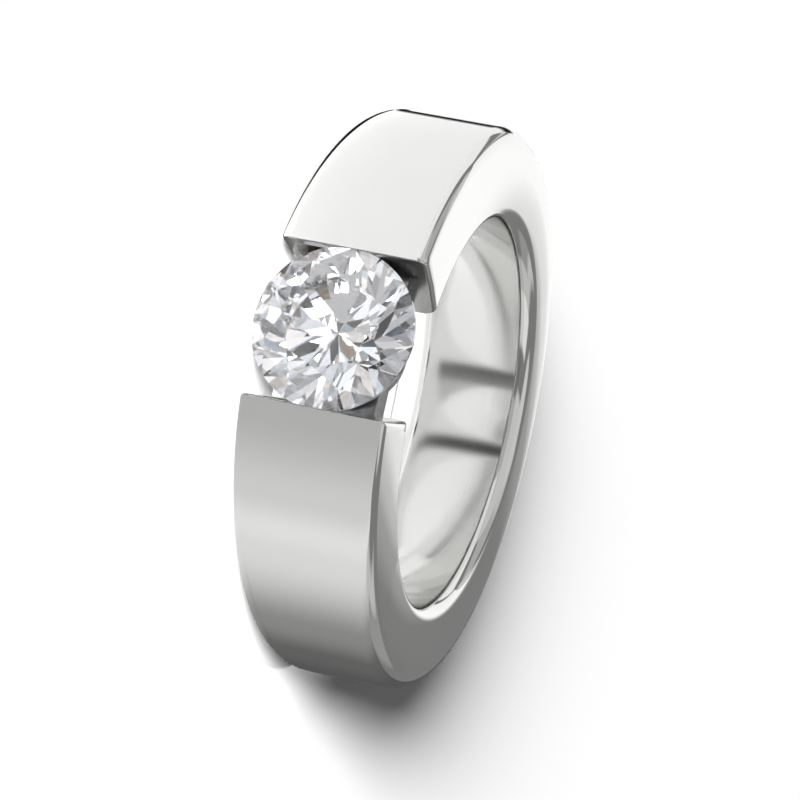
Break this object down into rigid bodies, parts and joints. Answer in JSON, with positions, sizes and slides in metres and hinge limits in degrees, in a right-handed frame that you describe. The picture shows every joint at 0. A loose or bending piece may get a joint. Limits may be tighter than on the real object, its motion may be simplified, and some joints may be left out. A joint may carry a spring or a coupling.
{
  "type": "cubic zirconia ring",
  "caption": "Wide polished finger ring, open at the front, where a round brilliant-cut stone spans the gap between the two ends of the band.",
  "frame": {"origin": "centre of the finger hole, on its axis and midway between the two sides of the band", "axes": "+Z along the finger hole's axis, -Y out through the stone, so +Y is towards the back of the band"},
  "size_m": [0.0234, 0.0247, 0.0066],
  "materials": {
    "polished_metal": "rhodium-plated sterling silver, mirror polished",
    "zirconia": "clear, polished flat facets"
  },
  "bodies": {
    "root": {"band": "polished_metal", "stone": "zirconia"}
  },
  "joints": []
}
